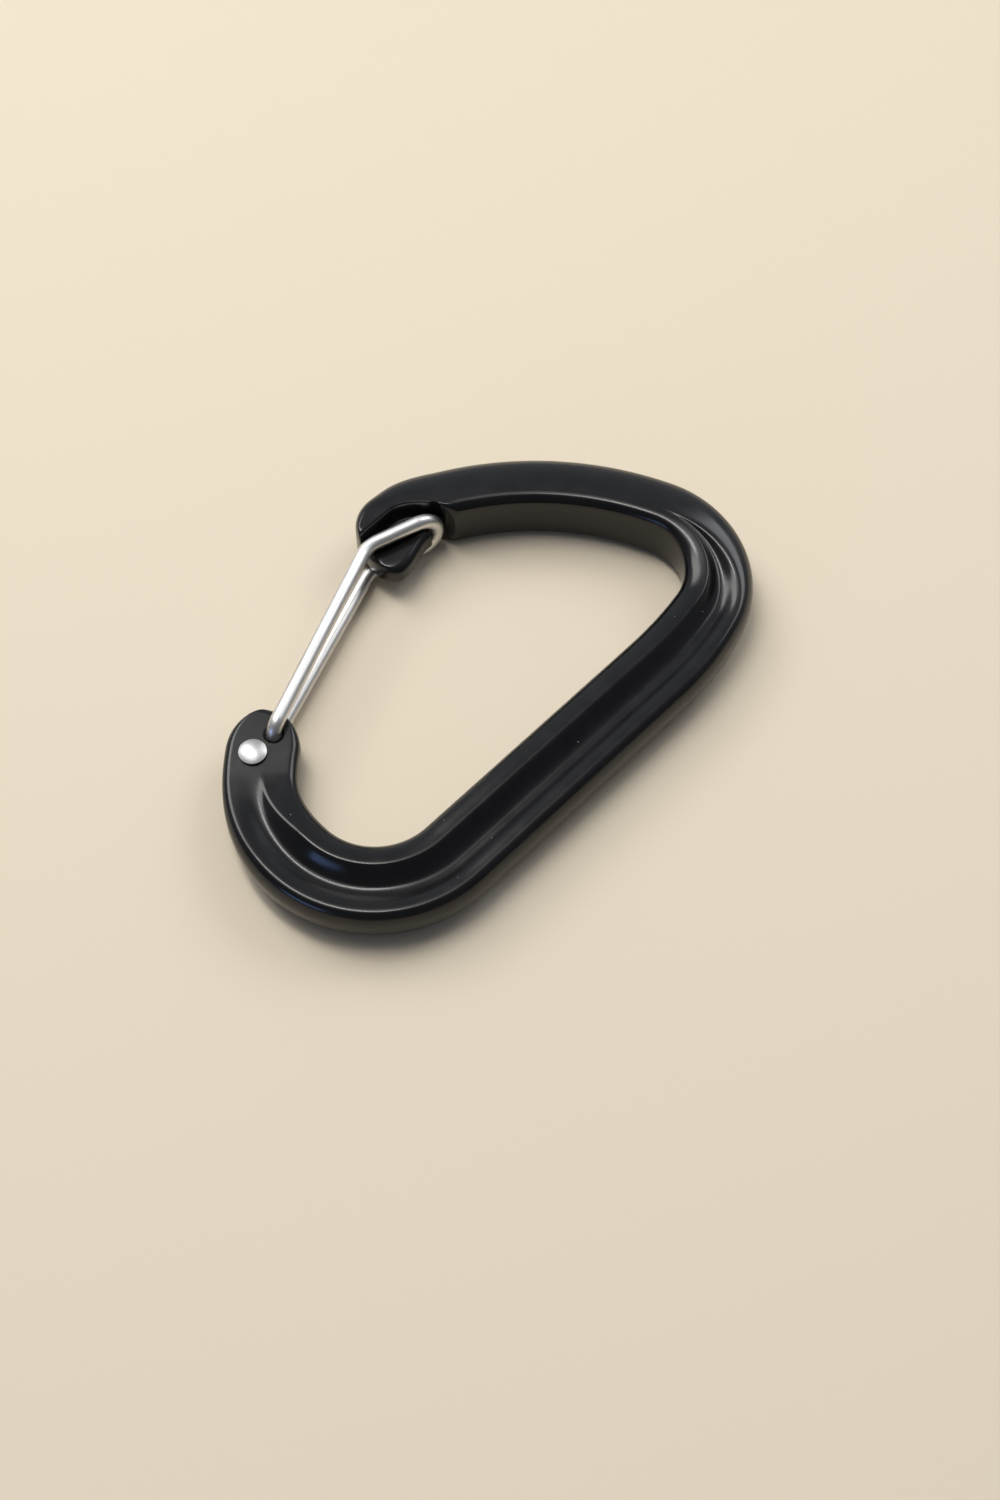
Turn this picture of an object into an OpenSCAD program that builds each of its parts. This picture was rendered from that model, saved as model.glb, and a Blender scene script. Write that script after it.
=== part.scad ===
// Wire-gate carabiner: a forged D-shaped frame with channelled faces and a
// sprung gate bent from one length of round wire.
// +Y runs along the spine towards the bow, +X from the gate to the spine and
// +Z out of the face that lies up. The part lies on Z = 0, centred on the origin.

/* [Frame outline] */
// Overall length, along the spine
overall_l = 76.5; // [73:0.5:84]
// Width of the body round the basket
basket_w = 10; // [9.4:0.1:10.8]
// Width of the body along the spine
spine_w = 10.1; // [9.4:0.1:10.8]
// Radius of the basket, at the middle of the body
basket_r = 13.1; // [12:0.1:14]
// Radius of the flare between the basket and the hinge pad, at its middle
flare_r = 16.3; // [15:0.1:18]
// Turn of the flare, in degrees
flare_turn = 45; // [42:1:48]
// Length of the hinge pad
pad_l = 8.7; // [8.4:0.1:9.6]
// Turn of the hinge pad, in degrees
pad_turn = 18; // [16:1:20]
// Width of the hinge pad
pad_w = 9; // [8.6:0.1:9.8]
// Length of the rounding at the end of the pad
pad_round = 5.4; // [4.6:0.1:5.6]
// Radius of the slow bend at the top of the spine, at its middle
lean_r = 45; // [35:1:60]
// Turn of that bend, in degrees
lean_turn = 14; // [12:1:16]
// Radius of the upper corner, at the middle of the body
corner_r = 11.3; // [10:0.1:12.5]
// Turn of the upper corner, in degrees
corner_turn = 96; // [94:1:98]
// Radius of the bow, at its middle
bow_r = 39.6; // [36:0.1:44]
// Turn of the bow, in degrees
bow_turn = 40; // [38:1:42]
// Width of the bow
bow_w = 7.8; // [7.4:0.1:8.8]
// Radius of the bend from the bow into the nose, at its middle
nose_r = 12.5; // [11:0.5:15]
// Turn of the nose, in degrees
nose_turn = 30; // [28:1:32]
// Length of the straight end of the nose
nose_l = 7.5; // [7:0.1:8]
// Width of the nose over its tongue
nose_w = 9.5; // [9:0.1:10.2]
// Length of the rounding at the end of the nose, on the outside
nose_round = 5.5; // [5:0.1:6]
// Length of the rounding at the end of the nose's tongue, on the inside
tongue_round = 2.8; // [2.4:0.1:3.2]
// Skew of the tongue's end, in degrees
tongue_skew = 15; // [12:1:18]
// Swell of the tongue's side, as a share of half the nose's width
tongue_swell = 0.14; // [0.08:0.02:0.16]
// Waist of the tongue at the gate's closed end, as a share of the same
tongue_waist = 0.12; // [0.08:0.02:0.2]

/* [Frame section] */
// Thickness of the bow and the nose
frame_t = 7.8; // [7.4:0.1:8.6]
// Thickness over the inner rail, round the basket and along the spine
rail_t = 6.9; // [6.4:0.1:7.3]
// Thickness over the outer rail
outer_rail_t = 5.2; // [4.9:0.1:5.8]
// Thickness of the web between the two channels
web_t = 3.2; // [2.8:0.1:3.8]
// From the inner edge to the crest of the inner rail
inner_crest = 3; // [2.6:0.1:3.3]
// Fall of the inner rail from its crest to its edge
inner_fall = 0.7; // [0.4:0.1:1]
// Rounding of the inner rail's edge
inner_edge = 1.2; // [0.9:0.1:1.5]
// From the outer edge to the crest of the outer rail
outer_crest = 1.1; // [0.9:0.1:1.4]
// Height of the outer rail's rounded edge
outer_edge_h = 2.3; // [2:0.05:2.4]
// From the pad's inner edge to the point where the channel starts
channel_start = 4.3; // [3.8:0.1:4.8]
// Power that leans the channel towards its inner rail at that point
start_lean = 0.45; // [0.4:0.05:0.6]
// Power that leans the channel towards its inner rail further on
channel_lean = 0.8; // [0.7:0.05:1]
// Rounding of the ridge along the inside of the bow
ridge_r = 0.8; // [0.5:0.1:1]
// Width of the crowned slope along the outside of the bow
crown_w = 5.6; // [4.8:0.1:6]
// Height of that slope
crown_h = 2.3; // [1.8:0.1:2.6]
// Rounding of the pad's edges
pad_edge = 0.7; // [0.5:0.1:0.9]
// Rounding of the tongue's edges
tongue_edge = 1.1; // [0.8:0.1:1.3]
// Rounding of the shoulder's outer edge, at the tip of the nose
shoulder_edge = 1.4; // [1.2:0.1:1.6]
// Width of the full-thickness shoulder on the outside of the nose
shoulder_w = 3.9; // [3.5:0.1:4.1]
// From the tip of the nose back to where the step beside the tongue starts to run out
step_back = 5.5; // [5.2:0.1:6]
// Length over which that step runs out into the bow
step_run = 9.5; // [8.5:0.5:10.5]
// Lean of the walls from the parting line to the edges
draft = 0.2; // [0.1:0.05:0.3]

/* [Wire gate] */
// Diameter of the wire
wire_d = 1.85; // [1.7:0.05:2]
// Radius of the bend from each leg into its pivot pin
pin_bend_r = 1.6; // [1.4:0.1:1.9]
// Along the pad, from its tip to the upper leg's pivot
upper_pivot_along = 3.5; // [3.3:0.05:3.7]
// Across the pad, from its middle to that pivot, towards the inside
upper_pivot_across = 1.05; // [0.8:0.05:1.3]
// Along the pad, from its tip to the lower leg's pivot
lower_pivot_along = 6.35; // [6.15:0.05:6.6]
// Across the pad, from its middle to that pivot, towards the outside
lower_pivot_across = 0.95; // [0.7:0.05:1.2]
// From the tip of the nose back to the gate's kink
kink_back = 0.1; // [0:0.1:0.5]
// Across the nose, from its middle to the kink, towards the inside
kink_across = 0.4; // [0.2:0.1:0.6]
// Turn of the kink in the upper leg, in degrees
kink_turn = 39; // [37:1:41]
// Radius of the kink, at the middle of the wire
kink_r = 4; // [3:0.5:5]
// Length of the wire from the kink to its closed end
kinked_l = 7; // [6.6:0.1:7.6]
// Diameter of the closed head on the lower leg's pivot pin
head_d = 3.4; // [3:0.1:3.6]
// Height of that head's rim
head_rim = 0.3; // [0.2:0.05:0.4]
// Height of that head's dome
head_dome = 0.4; // [0.3:0.05:0.5]
// Length of the lower leg that flexes as the gate opens
flex_l = 12; // [10:0.5:15]

/* [Fits] */
// From the frame's faces in to the outer side of the legs
leg_inset = 0.1; // [0.05:0.05:0.2]
// Gap between the legs and the hinge pad
pad_gap = 0.2; // [0.15:0.05:0.3]
// Gap between the legs and the tongue
tongue_gap = 0.3; // [0.25:0.05:0.4]
// How far the tongue reaches into the gate's closed end
tongue_reach = 0.4; // [0.2:0.1:0.5]
// Gap round the pivot pins in their bores
pin_gap = 0.05; // [0.03:0.01:0.1]
// Width of the countersinks at the bores
countersink = 0.35; // [0.2:0.05:0.5]
// Gap between the gate's closed end and the notch behind the tongue
notch_gap = 0.45; // [0.35:0.05:0.6]
// Gap under the head
head_gap = 0.05; // [0.03:0.01:0.1]

/* [Hidden] */
$fn = 48;

wire_r = wire_d / 2;
leg_z = frame_t / 2 - leg_inset - wire_r;
pad_t = 2 * (leg_z - wire_r - pad_gap);
tongue_t = 2 * (leg_z - wire_r - tongue_gap);
bore_r = wire_r + pin_gap;

function ease(t) = let (c = max(0, min(1, t))) c * c * (3 - 2 * c);
function ahead(a) = [cos(a), sin(a)];
function angle_of(v) = atan2(v.y, v.x);
function arc_l(r, turn) = r * turn * PI / 180;

// Half the width at the highest point of the bow, where the body narrows
narrow_l = arc_l(lean_r, lean_turn) + arc_l(corner_r, corner_turn);
crest_l = arc_l(lean_r, lean_turn) + arc_l(corner_r, 90 - lean_turn);
crest_half = (spine_w + (bow_w - spine_w) * ease(crest_l / narrow_l)) / 2;
spine_l = overall_l - crest_half - basket_w / 2 - basket_r
    - lean_r * sin(lean_turn) - corner_r * (1 - sin(lean_turn));

// Middle line of the frame: a chain of straights and arcs, each one
// [length, turn], walked from the tip of the hinge pad to the tip of the nose
basket_turn = 90;
pieces = [
    [pad_l, pad_turn],
    [arc_l(flare_r, flare_turn), flare_turn],
    [arc_l(basket_r, basket_turn), basket_turn],
    [spine_l, 0],
    [arc_l(lean_r, lean_turn), lean_turn],
    [arc_l(corner_r, corner_turn), corner_turn],
    [arc_l(bow_r, bow_turn), bow_turn],
    [arc_l(nose_r, nose_turn), nose_turn],
    [nose_l, 0]
];
function total(n) = n == 0 ? 0 : pieces[n - 1][0] + total(n - 1);
flare_s = total(1);
basket_s = total(2);
spine_s = total(3);
lean_s = total(4);
corner_s = total(5);
bow_s = total(6);
nose_s = total(7);
nose_end_s = total(8);
end_s = total(9);

// Values that change along the frame, eased between [place, value] keys
function along(keys, s, i = 0) = i + 2 < len(keys) && s > keys[i + 1][0]
    ? along(keys, s, i + 1)
    : let (k = keys[i], m = keys[i + 1])
      k[1] + (m[1] - k[1]) * ease((s - k[0]) / (m[0] - k[0]));

// The pad is flat, and the rails and the channel rise from the start of the flare
slope_w = 0.6;
crown_end_s = end_s - nose_round / 2;
width_keys = [[flare_s, pad_w], [basket_s, basket_w], [spine_s, spine_w], [lean_s, spine_w],
    [bow_s, bow_w], [nose_s, bow_w], [nose_end_s, nose_w]];
rail_keys = [[flare_s, pad_t], [basket_s, rail_t], [corner_s, rail_t], [bow_s, frame_t]];
outer_rail_keys = [[flare_s, pad_t], [basket_s, outer_rail_t], [corner_s, outer_rail_t],
    [bow_s, frame_t]];
floor_keys = [[flare_s, pad_t], [basket_s, web_t], [corner_s, web_t], [bow_s, frame_t]];
lean_keys = [[flare_s, start_lean], [basket_s, channel_lean]];
edge_keys = [[flare_s, pad_edge], [basket_s, inner_edge], [corner_s, inner_edge],
    [bow_s, ridge_r], [nose_s, ridge_r], [nose_end_s, tongue_edge]];
inner_w_keys = [[0, pad_edge + slope_w], [flare_s, channel_start], [basket_s, inner_crest],
    [corner_s, inner_crest], [bow_s, ridge_r + slope_w], [nose_s, ridge_r + slope_w],
    [nose_end_s, tongue_edge + slope_w]];
fall_keys = [[flare_s, 0], [basket_s, inner_fall], [corner_s, inner_fall], [bow_s, 0]];
outer_w_keys = [[flare_s, pad_edge], [basket_s, outer_crest], [corner_s, outer_crest],
    [bow_s, crown_w], [nose_s, crown_w], [crown_end_s, shoulder_edge]];
outer_h_keys = [[flare_s, pad_edge], [basket_s, outer_edge_h], [corner_s, outer_edge_h],
    [bow_s, crown_h], [nose_s, crown_h], [crown_end_s, shoulder_edge]];
// From the inner edge to the step down beside the tongue, below zero where there is none
step_r = 0.55;
step_w = nose_w - shoulder_w;
step_keys = [[end_s - step_back - step_run, -step_r], [end_s - step_back, step_w]];
// Share of half the width on the inside, with the tongue's waist and its swell
closed_s = end_s - kink_back - kinked_l;
side_keys = [[closed_s - 2 * leg_z, 1], [closed_s, 1 - tongue_waist],
    [end_s - tongue_round, 1 + tongue_swell]];

// Point and heading on the middle line, s along it: [x, y, heading]
function step(a, l, turn) = turn == 0
    ? l * ahead(a)
    : (l / (turn * PI / 180)) * [sin(a + turn) - sin(a), cos(a) - cos(a + turn)];
function walk(s, p, i = 0, a = pad_a) =
    let (l = pieces[i][0], turn = pieces[i][1])
    s <= l || i == len(pieces) - 1
        ? let (q = p + step(a, s, turn * s / l)) [q.x, q.y, a + turn * s / l]
        : walk(s - l, p + step(a, l, turn), i + 1, a + turn);

// Share of half the width left at the rounded ends, on the outside and on the inside
function round_end(d, r) = d >= r ? 1 : sqrt(1 - pow(1 - d / r, 2));
function outer_share(s) = round_end(s, pad_round) * round_end(end_s - s, nose_round);
function inner_share(s) = along(side_keys, s)
    * round_end(s, pad_round) * round_end(end_s - s, tongue_round);
function share(s, x) = x > 0 ? inner_share(s) : outer_share(s);

// The pad's tip, with the basket at the foot of the overall length and the nose
// and the spine as far from the middle as each other
pad_a = 90 - basket_turn - flare_turn - pad_turn;
spine_foot = [-spine_w / 2, -overall_l / 2 + basket_w / 2 + basket_r];
spine_tip = spine_foot
    - step(pad_a + pad_turn + flare_turn, pieces[2][0], basket_turn)
    - step(pad_a + pad_turn, pieces[1][0], flare_turn)
    - step(pad_a, pieces[0][0], pad_turn);
nose_n = 24;
nose_left = min([for (k = [0:nose_n])
    let (s = nose_s + (end_s - nose_s) * k / nose_n, w = walk(s, spine_tip))
    w.x + outer_share(s) * along(width_keys, s) / 2 * cos(w.z - 90)]);
pad_tip = spine_tip - [nose_left / 2, 0];

// Point beside the middle line, towards the inside of the D
function beside(s, across) =
    let (w = walk(s, pad_tip)) [w.x, w.y] + across * ahead(w.z + 90);

// Half section at place s from the inner edge to the outer: [from the inner edge, height].
// The inner edge is rounded, the rail slopes up to its crest, the channel dips
// between the crests, and the outer edge is rounded or crowned.
edge_n = 4;
slope_n = 2;
channel_n = 10;
crest_power = 2;
function level(s, d, h) =
    let (half_w = along(width_keys, s) / 2, x = half_w - d,
        past = x * share(s, x) - half_w + along(step_keys, s),
        low = ease((past + step_r) / (2 * step_r)))
    h * (1 - low) + low * min(h, tongue_t / 2);
function half_section(s) =
    let (w = along(width_keys, s), rail = along(rail_keys, s) / 2,
        outer = along(outer_rail_keys, s) / 2,
        dip = max(0, (rail + outer) / 2 - along(floor_keys, s) / 2),
        edge = along(edge_keys, s), fall = along(fall_keys, s), lean = along(lean_keys, s),
        foot = w / 2 - along(step_keys, s) + step_r,
        in_w = max(along(inner_w_keys, s), w / 2 - foot / share(s, foot)),
        out_w = along(outer_w_keys, s), out_h = along(outer_h_keys, s),
        channel_w = w - in_w - out_w)
    concat(
        [for (k = [0:edge_n])
            let (d = edge * (1 - cos(90 * k / edge_n)))
            [d, level(s, d, rail - fall) - edge * (1 - sin(90 * k / edge_n))]],
        [for (k = [1:slope_n])
            let (t = k / slope_n, d = edge + (in_w - edge) * t)
            [d, level(s, d, rail - fall * pow(1 - t, crest_power))]],
        [for (k = [1:channel_n - 1])
            let (t = k / channel_n, d = in_w + channel_w * t,
                dent = dip * pow(sin(180 * pow(t, lean)), crest_power))
            [d, level(s, d, rail + (outer - rail) * t - dent)]],
        [for (k = [edge_n:-1:0])
            let (d = w - out_w * (1 - cos(90 * k / edge_n)))
            [d, level(s, d, outer) - out_h * (1 - sin(90 * k / edge_n))]]);

// Closed section at place s: the upper half, and the same below the parting line.
// The inner side runs ahead towards the tongue's skewed end.
function end_drop(d, edge) = d >= edge ? 0 : edge * (1 - sqrt(1 - pow(1 - d / edge, 2)));
function ring(s) =
    let (place = walk(s, pad_tip), front = ahead(place.z), side = ahead(place.z + 90),
        skew = tan(tongue_skew) * ease((s - nose_end_s) / nose_l),
        half_w = along(width_keys, s) / 2, narrow = 1 - draft / half_w,
        drop = max(end_drop(s, pad_edge), end_drop(end_s - s, tongue_edge)),
        upper = [for (p = half_section(s)) [narrow * (half_w - p[0]), p[1] - drop]],
        n = len(upper),
        points = concat([[half_w, 0]], upper, [[-half_w, 0]],
            [for (k = [n - 1:-1:0]) [upper[k][0], -upper[k][1]]]))
    [for (p = points)
        let (x = p[0] * share(s, p[0]), y = skew * max(0, x))
        [place.x + side.x * x + front.x * y, place.y + side.y * x + front.y * y, p[1]]];

// Places of the rings: close at the two rounded ends, then evenly on each piece
pad_cap_n = 8;
nose_cap_n = 12;
function spread(from, to, n) = [for (k = [0:n - 1]) from + (to - from) * k / n];
places = concat(
    [for (k = [1:pad_cap_n]) pad_round * (1 - cos(90 * k / (pad_cap_n + 1)))],
    spread(pad_round, flare_s, 3),
    spread(flare_s, basket_s, 9),
    spread(basket_s, spine_s, 14),
    spread(spine_s, lean_s, 5),
    spread(lean_s, corner_s, 4),
    spread(corner_s, bow_s, 12),
    spread(bow_s, nose_s, 9),
    spread(nose_s, nose_end_s, 12),
    spread(nose_end_s, end_s - nose_round, 4),
    [for (k = [nose_cap_n + 1:-1:1]) end_s - nose_round * (1 - cos(90 * k / (nose_cap_n + 1)))]);

module forging() {
    rings = [for (s = places) ring(s)];
    m = len(rings[0]);
    n = len(rings);
    sides = [for (j = [0:n - 2], k = [0:m - 1])
        let (a = j * m + k, b = j * m + (k + 1) % m)
        each [[a, b, b + m], [a, b + m, a + m]]];
    start_cap = [for (k = [1:m - 2]) [0, k + 1, k]];
    last = (n - 1) * m;
    end_cap = [for (k = [1:m - 2]) [last, last + k, last + k + 1]];
    polyhedron([for (r = rings) each r], concat(sides, start_cap, end_cap));
}

// Pivots and gate line, in plan
upper_pivot = beside(upper_pivot_along, upper_pivot_across);
lower_pivot = beside(lower_pivot_along, -lower_pivot_across);
kink = beside(end_s - kink_back, kink_across);
kinked_a = angle_of(kink - upper_pivot) - kink_turn;
gate_end = kink + kinked_l * ahead(kinked_a);

// Pivot bore through the pad, countersunk on both faces
module pivot_bore(pivot) {
    translate([pivot.x, pivot.y, 0]) {
        cylinder(r = bore_r, h = 2 * frame_t, center = true);
        for (face = [0, 1]) mirror([0, 0, face])
            translate([0, 0, pad_t / 2 - countersink])
                cylinder(r1 = bore_r, r2 = bore_r + 2 * countersink, h = 2 * countersink);
    }
}

// Notch behind the tongue for the gate's closed end, open towards the inside of the D
module notch() {
    swing_a = angle_of(gate_end - upper_pivot) - 90;
    near = tongue_reach;
    far = leg_z + wire_r + notch_gap;
    centre = gate_end + (near + far) / 2 * ahead(kinked_a);
    r = (far - near) / 2 * sin(kinked_a - swing_a);
    translate([centre.x, centre.y, 0]) {
        cylinder(r = r, h = 2 * frame_t, center = true);
        rotate(swing_a) translate([0, -r, -frame_t]) cube([nose_w, 2 * r, 2 * frame_t]);
    }
}

module frame() {
    color("#1c1c1e") translate([0, 0, frame_t / 2]) difference() {
        forging();
        pivot_bore(upper_pivot);
        pivot_bore(lower_pivot);
        notch();
    }
}

// A straight of wire along +X, and what goes on from its end. It runs into the bends
// before and after it by a lap.
lap = 0.05;
module straight(l, before = lap, after = lap) {
    translate([-before, 0, 0]) rotate([0, 90, 0]) cylinder(r = wire_r, h = before + l + after);
    translate([l, 0, 0]) children();
}

// A bend from +X, to the left or, with a turn below zero, to the right, and what goes on
// from its end. Bent wire swells a little.
swell = 0.005;
module bend(r, turn) {
    side = sign(turn);
    translate([0, side * r, 0]) rotate(side > 0 ? -90 : 90 + turn)
        rotate_extrude(angle = abs(turn)) translate([r, 0]) circle(r = wire_r + swell);
    translate([r * sin(abs(turn)), side * r * (1 - cos(turn)), 0]) rotate(turn) children();
}

// A quarter roll of the wire about its own line
module roll(side) rotate([90 * side, 0, 0]) children();

upper_a = angle_of(kink - upper_pivot);
lower_a = angle_of(kink - lower_pivot);
upper_turn = upper_a - kinked_a;
lower_turn = lower_a - kinked_a;
upper_cut = kink_r * tan(upper_turn / 2);
lower_cut = kink_r * tan(lower_turn / 2);
upper_l = norm(kink - upper_pivot) - upper_cut - pin_bend_r;
lower_l = norm(kink - lower_pivot) - lower_cut - flex_l;
pin_l = leg_z - pin_bend_r + pad_t / 2;

// The closed wire: pivot pin, upper leg, bend round the tongue and the lower leg
// as far as the stretch that flexes
module gate_wire() {
    color("#c8c8ca") translate([upper_pivot.x, upper_pivot.y, (frame_t - pad_t) / 2])
        rotate(upper_a) rotate([0, -90, 0]) straight(pin_l, before = 0)
        roll(-1) bend(pin_bend_r, 90) roll(1) straight(upper_l)
        bend(kink_r, -upper_turn) straight(kinked_l - upper_cut)
        roll(-1) bend(leg_z, 180) roll(-1) straight(kinked_l - lower_cut)
        bend(kink_r, lower_turn) straight(lower_l, after = 0);
}

// The root of the lower leg, which flexes, with its pivot pin up through the pad
module gate_spring_leg() {
    color("#c8c8ca") translate([lower_pivot.x, lower_pivot.y, (frame_t + pad_t) / 2 + head_gap])
        rotate(lower_a) rotate([0, 90, 0]) straight(pin_l + head_gap, before = 0)
        roll(1) bend(pin_bend_r, 90) straight(flex_l - pin_bend_r, after = 0);
}

// Low domed head closed over the end of the lower leg's pivot pin
module lower_leg_head() {
    dome_r = (pow(head_d / 2, 2) + pow(head_dome, 2)) / (2 * head_dome);
    color("#d2d2d4") translate([lower_pivot.x, lower_pivot.y, (frame_t + pad_t) / 2 + head_gap])
        rotate_extrude() {
            square([head_d / 2, head_rim]);
            translate([0, head_rim]) intersection() {
                translate([0, head_dome - dome_r]) circle(r = dome_r);
                square([head_d / 2, head_dome]);
            }
        }
}

frame();
gate_wire();
gate_spring_leg();
lower_leg_head();
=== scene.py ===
"""Studio scene of a wire-gate carabiner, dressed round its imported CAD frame.

Sizes are in millimetres and degrees, in the frame of the CAD model, and become metres where
a mesh, a light or the camera is made.
"""
import logging
import math
from dataclasses import dataclass, field
from enum import Enum
from functools import cached_property
from typing import Any, Sequence

import bpy
import numpy as np
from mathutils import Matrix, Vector


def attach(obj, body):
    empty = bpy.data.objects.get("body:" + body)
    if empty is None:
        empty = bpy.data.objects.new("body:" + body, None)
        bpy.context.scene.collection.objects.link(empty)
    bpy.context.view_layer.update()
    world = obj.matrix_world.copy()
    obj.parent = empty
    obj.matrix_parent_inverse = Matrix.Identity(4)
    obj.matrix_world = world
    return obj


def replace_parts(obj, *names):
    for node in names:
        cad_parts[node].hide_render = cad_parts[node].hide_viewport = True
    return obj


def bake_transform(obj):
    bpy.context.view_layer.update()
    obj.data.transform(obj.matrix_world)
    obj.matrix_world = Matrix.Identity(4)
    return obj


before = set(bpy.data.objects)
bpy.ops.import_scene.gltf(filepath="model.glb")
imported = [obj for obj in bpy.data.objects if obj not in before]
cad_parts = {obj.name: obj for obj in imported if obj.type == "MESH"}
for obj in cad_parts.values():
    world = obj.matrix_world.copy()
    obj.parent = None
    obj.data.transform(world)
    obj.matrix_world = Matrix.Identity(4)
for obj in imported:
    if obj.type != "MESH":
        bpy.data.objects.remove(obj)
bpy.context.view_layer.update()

LOG = logging.getLogger("carabiner")
MM = 0.001

# Sockets of a mix node that hold its two colours and its result.
MIX_A, MIX_B, MIX_RESULT = 6, 7, 2

Span = tuple[float, float]
Triple = tuple[float, float, float]
Keys = Sequence[Span]
Face = tuple[int, ...]
Socket = bpy.types.NodeSocket
Paint = Sequence[float] | Socket


class Body(Enum):
    """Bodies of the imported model."""

    FRAME = "body"
    GATE = "gate"


class Slot(Enum):
    """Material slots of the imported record."""

    ANODISED = "anodised"
    WIRE = "wire"
    HEAD = "head"


class Ramp(Enum):
    """Ways to go from one mark to another."""

    LINEAR = "LINEAR"
    SMOOTH = "SMOOTHSTEP"


def ease(t: np.ndarray | float) -> np.ndarray:
    """Smooth step from 0 to 1, for a number or an array."""
    c = np.clip(t, 0.0, 1.0)
    return c * c * (3 - 2 * c)


def along(keys: Keys, s: float) -> float:
    """Value at a place, eased between keys.

    Args:
        keys: Pairs of place and value, in rising order of place.
        s: Place along the frame's middle line.

    Returns:
        The value at that place.
    """
    i = 0
    while i + 2 < len(keys) and s > keys[i + 1][0]:
        i += 1
    (s0, v0), (s1, v1) = keys[i], keys[i + 1]
    return v0 + (v1 - v0) * float(ease((s - s0) / (s1 - s0)))


def heading(a: float) -> np.ndarray:
    """Unit vector in plan at an angle."""
    return np.array([math.cos(math.radians(a)), math.sin(math.radians(a))])


def bearing(towards: Span) -> Vector:
    """Unit vector from its angle in plan and its angle over the floor."""
    rise = math.radians(towards[1])
    return Vector((*(heading(towards[0]) * math.cos(rise)), math.sin(rise)))


def angle_of(v: np.ndarray) -> float:
    """Angle of a vector in plan."""
    return math.degrees(math.atan2(v[1], v[0]))


def arc_length(r: float, turn: float) -> float:
    """Length of an arc."""
    return r * math.radians(turn)


def skin(rings: int, sides: int) -> list[Face]:
    """Faces of a closed skin over rings of points that follow each other.

    Args:
        rings: Number of rings.
        sides: Number of points in each ring.

    Returns:
        The two end faces, then the faces between the rings.
    """
    faces: list[Face] = [tuple(range(sides))[::-1],
                         tuple(range((rings - 1) * sides, rings * sides))]
    for j in range(rings - 1):
        for k in range(sides):
            a, b = j * sides + k, j * sides + (k + 1) % sides
            faces.append((a, b, b + sides, a + sides))
    return faces


def mesh_object(name: str, points: np.ndarray, faces: Sequence[Face],
                uv: dict[int, Span] | None = None) -> bpy.types.Object:
    """Makes a smooth-shaded mesh object from points in millimetres.

    Args:
        name: Name of the piece.
        points: Points, three numbers each.
        faces: Point numbers of each face.
        uv: Texture place of each point, if the piece has one.

    Returns:
        The new object, linked to the scene.
    """
    mesh = bpy.data.meshes.new(name)
    mesh.from_pydata((np.asarray(points) * MM).tolist(), [], [list(f) for f in faces])
    if uv is not None:
        layer = mesh.uv_layers.new(name="along")
        for loop in mesh.loops:
            layer.data[loop.index].uv = uv[loop.vertex_index]
    mesh.validate()
    mesh.shade_smooth()
    piece = bpy.data.objects.new(name, mesh)
    bpy.context.scene.collection.objects.link(piece)
    return piece


def lathe(name: str, profile: Sequence[Span], centre: np.ndarray,
          segments: int = 64) -> bpy.types.Object:
    """Turns a profile about an upright axis into a closed piece.

    Args:
        name: Name of the piece.
        profile: Pairs of radius and height; the first and last lie on the axis.
        centre: Place of the axis and its zero height.
        segments: Number of steps round the axis.

    Returns:
        The turned object.
    """
    x, y, base = centre
    points = [(x, y, base + profile[0][1])]
    for r, z in profile[1:-1]:
        for k in range(segments):
            a = 2 * math.pi * k / segments
            points.append((x + r * math.cos(a), y + r * math.sin(a), base + z))
    points.append((x, y, base + profile[-1][1]))
    rows = len(profile) - 2
    last = len(points) - 1
    faces: list[Face] = []
    for k in range(segments):
        n = (k + 1) % segments
        faces.append((0, 1 + n, 1 + k))
        for j in range(rows - 1):
            low, high = 1 + j * segments, 1 + (j + 1) * segments
            faces.append((low + k, low + n, high + n, high + k))
        top = 1 + (rows - 1) * segments
        faces.append((top + k, top + n, last))
    return mesh_object(name, np.array(points), faces)


def cut(piece: bpy.types.Object, tool: bpy.types.Object) -> None:
    """Cuts a tool out of a piece.

    Args:
        piece: Object that is cut.
        tool: Object that is taken away from it, and deleted.
    """
    modifier = piece.modifiers.new("cut", "BOOLEAN")
    modifier.operation, modifier.solver, modifier.object = "DIFFERENCE", "EXACT", tool
    evaluated = piece.evaluated_get(bpy.context.evaluated_depsgraph_get())
    old, piece.data = piece.data, bpy.data.meshes.new_from_object(evaluated)
    piece.modifiers.clear()
    bpy.data.meshes.remove(old)
    bpy.data.objects.remove(tool)


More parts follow.
